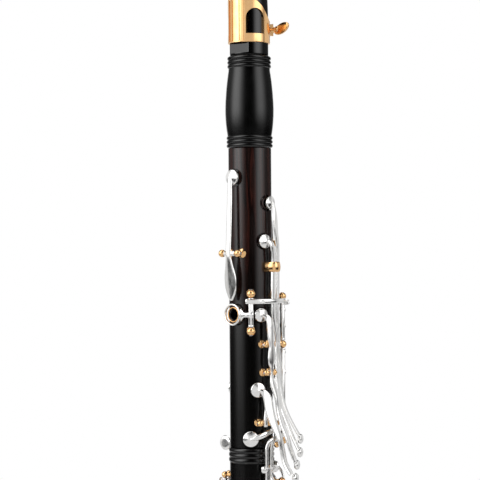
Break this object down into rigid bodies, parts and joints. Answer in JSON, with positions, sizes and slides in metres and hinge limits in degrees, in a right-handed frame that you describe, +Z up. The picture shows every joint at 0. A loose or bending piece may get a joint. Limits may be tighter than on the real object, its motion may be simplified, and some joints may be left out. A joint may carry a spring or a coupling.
{
  "type": "clarinet",
  "caption": "Boehm-system B-flat clarinet with dark streaked wood body, plain turned barrel, silver keywork on gold posts, ligature, reed and flared bell.",
  "frame": {"origin": "centre of the bell rim, on the bore axis", "axes": "+Z up the bore towards the mouthpiece tip, +Y the thumb side, -Y the finger-hole side, -X the player's right"},
  "size_m": [0.0796, 0.0796, 0.671],
  "materials": {
    "grenadilla": "oiled near-black wood with red-brown streaks on the upper joint",
    "satin_black": "satin black turned barrel",
    "ebonite": "polished black hard rubber",
    "silver_plate": "polished silver plate",
    "gold_plate": "polished warm gold plate",
    "cork": "natural cork, lightly greased",
    "cane": "scraped cane"
  },
  "bodies": {
    "joints": {"upper_joint": "grenadilla", "lower_joint": "grenadilla", "upper_tenon_cork": "cork", "middle_tenon_cork": "cork", "lower_tenon_cork": "cork", "thumb_bushing": "gold_plate", "register_tube": "silver_plate", "thumb_rest_base": "silver_plate", "register_posts": "gold_plate", "throat_a_posts": "gold_plate", "throat_g_sharp_posts": "gold_plate", "thumb_ring_posts": "gold_plate", "upper_stack_posts": "gold_plate", "e_flat_sliver_posts": "gold_plate", "trill_posts": "gold_plate", "trill_guide": "gold_plate", "side_f_sharp_posts": "gold_plate", "side_e_flat_posts": "gold_plate", "c_sharp_g_sharp_posts": "gold_plate", "lower_stack_posts": "gold_plate", "f_sharp_sliver_posts": "gold_plate", "low_e_posts": "gold_plate", "low_f_sharp_posts": "gold_plate", "low_f_posts": "gold_plate", "a_flat_e_flat_posts": "gold_plate", "left_e_posts": "gold_plate", "left_f_sharp_posts": "gold_plate", "left_f_posts": "gold_plate"},
    "barrel": {"barrel": "satin_black"},
    "mouthpiece": {"mouthpiece": "ebonite", "mouthpiece_cork": "cork", "reed": "cane"},
    "ligature": {"ligature_band": "gold_plate"},
    "ligature_screw": {"ligature_screw": "gold_plate"},
    "bell": {"bell": "grenadilla"},
    "thumb_rest": {"thumb_rest": "silver_plate"},
    "thumb_rest_screw": {"thumb_rest_screw": "silver_plate"},
    "register_key": {"register_key": "silver_plate"},
    "throat_a_key": {"throat_a_key": "silver_plate"},
    "throat_g_sharp_key": {"throat_g_sharp_key": "silver_plate"},
    "thumb_ring_key": {"thumb_ring_key": "silver_plate"},
    "index_ring_key": {"index_ring_key": "silver_plate"},
    "middle_ring_key": {"middle_ring_key": "silver_plate"},
    "e_flat_sliver_key": {"e_flat_sliver_key": "silver_plate"},
    "side_c_trill_key": {"side_c_trill_key": "silver_plate"},
    "side_b_trill_key": {"side_b_trill_key": "silver_plate"},
    "side_f_sharp_key": {"side_f_sharp_key": "silver_plate"},
    "side_e_flat_key": {"side_e_flat_key": "silver_plate"},
    "c_sharp_g_sharp_key": {"c_sharp_g_sharp_key": "silver_plate"},
    "lower_ring_key": {"lower_ring_key": "silver_plate"},
    "f_sharp_sliver_key": {"f_sharp_sliver_key": "silver_plate"},
    "low_e_key": {"low_e_key": "silver_plate"},
    "low_f_sharp_key": {"low_f_sharp_key": "silver_plate"},
    "low_f_key": {"low_f_key": "silver_plate"},
    "a_flat_e_flat_key": {"a_flat_e_flat_key": "silver_plate"},
    "left_e_lever": {"left_e_lever": "silver_plate"},
    "left_f_sharp_lever": {"left_f_sharp_lever": "silver_plate"},
    "left_f_lever": {"left_f_lever": "silver_plate"}
  },
  "joints": [
    {"name": "barrel_slide", "type": "slide", "parent": "joints", "child": "barrel", "axis": [0, 0, 1], "range_m": [0, 0.003]},
    {"name": "mouthpiece_turn", "type": "hinge", "parent": "barrel", "child": "mouthpiece", "pos_m": [0, 0, 0.5986], "axis": [0, 0, 1], "continuous": true},
    {"name": "ligature_slide", "type": "slide", "parent": "mouthpiece", "child": "ligature", "axis": [0, 0, 1], "range_m": [-0.003, 0.002]},
    {"name": "ligature_screw_turn", "type": "hinge", "parent": "ligature", "child": "ligature_screw", "pos_m": [-0.01, -0.0182, 0.6186], "axis": [1, 0, 0], "continuous": true},
    {"name": "bell_turn", "type": "hinge", "parent": "joints", "child": "bell", "pos_m": [0, 0, 0.09], "axis": [0, 0, 1], "continuous": true},
    {"name": "thumb_rest_slide", "type": "slide", "parent": "joints", "child": "thumb_rest", "axis": [0, 0, 1], "range_m": [-0.004, 0.006]},
    {"name": "thumb_rest_screw_turn", "type": "hinge", "parent": "joints", "child": "thumb_rest_screw", "pos_m": [0, 0.018, 0.272], "axis": [0, 1, 0], "continuous": true},
    {"name": "register_key_hinge", "type": "hinge", "parent": "joints", "child": "register_key", "pos_m": [0, 0.02, 0.4633], "axis": [-1, 0, 0], "range_deg": [0, 2.4]},
    {"name": "throat_a_key_hinge", "type": "hinge", "parent": "joints", "child": "throat_a_key", "pos_m": [0, -0.0194, 0.47], "axis": [1, 0, 0], "range_deg": [0, 3.8]},
    {"name": "throat_g_sharp_key_hinge", "type": "hinge", "parent": "joints", "child": "throat_g_sharp_key", "pos_m": [0.01325, -0.01471, 0.47], "axis": [0, 0, 1], "range_deg": [-10, 0]},
    {"name": "thumb_ring_key_hinge", "type": "hinge", "parent": "joints", "child": "thumb_ring_key", "pos_m": [-0.01445, 0.01496, 0.4232], "axis": [0, 0, 1], "range_deg": [-4, 0]},
    {"name": "index_ring_key_hinge", "type": "hinge", "parent": "joints", "child": "index_ring_key", "pos_m": [-0.01414, -0.01685, 0.4003], "axis": [0, 0, 1], "range_deg": [0, 4]},
    {"name": "middle_ring_key_hinge", "type": "hinge", "parent": "joints", "child": "middle_ring_key", "pos_m": [-0.01414, -0.01685, 0.4003], "axis": [0, 0, 1], "range_deg": [0, 4]},
    {"name": "e_flat_sliver_key_hinge", "type": "hinge", "parent": "joints", "child": "e_flat_sliver_key", "pos_m": [0.01545, -0.01207, 0.37], "axis": [0, 0, 1], "range_deg": [-7.5, 0]},
    {"name": "side_c_trill_key_hinge", "type": "hinge", "parent": "joints", "child": "side_c_trill_key", "pos_m": [-0.01763, -0.00311, 0.4014], "axis": [0.1736, -0.9848, 0], "range_deg": [0, 1.3]},
    {"name": "side_b_trill_key_hinge", "type": "hinge", "parent": "joints", "child": "side_b_trill_key", "pos_m": [-0.01763, -0.00311, 0.4014], "axis": [0.1736, -0.9848, 0], "range_deg": [0, 1.3]},
    {"name": "side_f_sharp_key_hinge", "type": "hinge", "parent": "joints", "child": "side_f_sharp_key", "pos_m": [-0.01953, 0.00171, 0.3821], "axis": [-0.0872, -0.9962, 0], "range_deg": [0, 2.4]},
    {"name": "side_e_flat_key_hinge", "type": "hinge", "parent": "joints", "child": "side_e_flat_key", "pos_m": [-0.01888, 0.00661, 0.348], "axis": [-0.3305, -0.9438, 0], "range_deg": [0, 4]},
    {"name": "c_sharp_g_sharp_key_hinge", "type": "hinge", "parent": "joints", "child": "c_sharp_g_sharp_key", "pos_m": [-0.01902, -0.00474, 0.34], "axis": [0, 0, 1], "range_deg": [0, 6]},
    {"name": "lower_ring_key_hinge", "type": "hinge", "parent": "joints", "child": "lower_ring_key", "pos_m": [-0.01781, -0.01113, 0.279], "axis": [0, 0, 1], "range_deg": [0, 3.2]},
    {"name": "f_sharp_sliver_key_hinge", "type": "hinge", "parent": "joints", "child": "f_sharp_sliver_key", "pos_m": [-0.00986, -0.01577, 0.2697], "axis": [0, 0, 1], "range_deg": [0, 6.5]},
    {"name": "low_e_key_hinge", "type": "hinge", "parent": "joints", "child": "low_e_key", "pos_m": [-0.02117, -0.00373, 0.187], "axis": [0, 0, 1], "range_deg": [0, 5.5]},
    {"name": "low_f_sharp_key_hinge", "type": "hinge", "parent": "joints", "child": "low_f_sharp_key", "pos_m": [-0.01932, -0.00942, 0.201], "axis": [0, 0, 1], "range_deg": [0, 6]},
    {"name": "low_f_key_hinge", "type": "hinge", "parent": "joints", "child": "low_f_key", "pos_m": [-0.01598, -0.01439, 0.216], "axis": [0, 0, 1], "range_deg": [0, 7.4]},
    {"name": "a_flat_e_flat_key_hinge", "type": "hinge", "parent": "joints", "child": "a_flat_e_flat_key", "pos_m": [-0.00764, -0.01892, 0.2195], "axis": [0.9272, -0.3746, 0], "range_deg": [-8, 0]},
    {"name": "left_e_lever_hinge", "type": "hinge", "parent": "joints", "child": "left_e_lever", "pos_m": [0.01854, 0.00749, 0.27], "axis": [0, 0, 1], "range_deg": [-5.6, 0]},
    {"name": "left_f_sharp_lever_hinge", "type": "hinge", "parent": "joints", "child": "left_f_sharp_lever", "pos_m": [0.01989, 0.00209, 0.27], "axis": [0, 0, 1], "range_deg": [-7.1, 0]},
    {"name": "left_f_lever_hinge", "type": "hinge", "parent": "joints", "child": "left_f_lever", "pos_m": [0.0197, -0.00347, 0.27], "axis": [0, 0, 1], "range_deg": [-10.8, 0]}
  ],
  "couplings": [
    {"joint": "left_e_lever_hinge", "follows": "low_e_key_hinge", "ratio": -1},
    {"joint": "left_f_sharp_lever_hinge", "follows": "low_f_sharp_key_hinge", "ratio": -1.17},
    {"joint": "left_f_lever_hinge", "follows": "low_f_key_hinge", "ratio": -1.44},
    {"joint": "middle_ring_key_hinge", "follows": "lower_ring_key_hinge", "ratio": 1.25},
    {"joint": "index_ring_key_hinge", "follows": "thumb_ring_key_hinge", "ratio": -1}
  ]
}
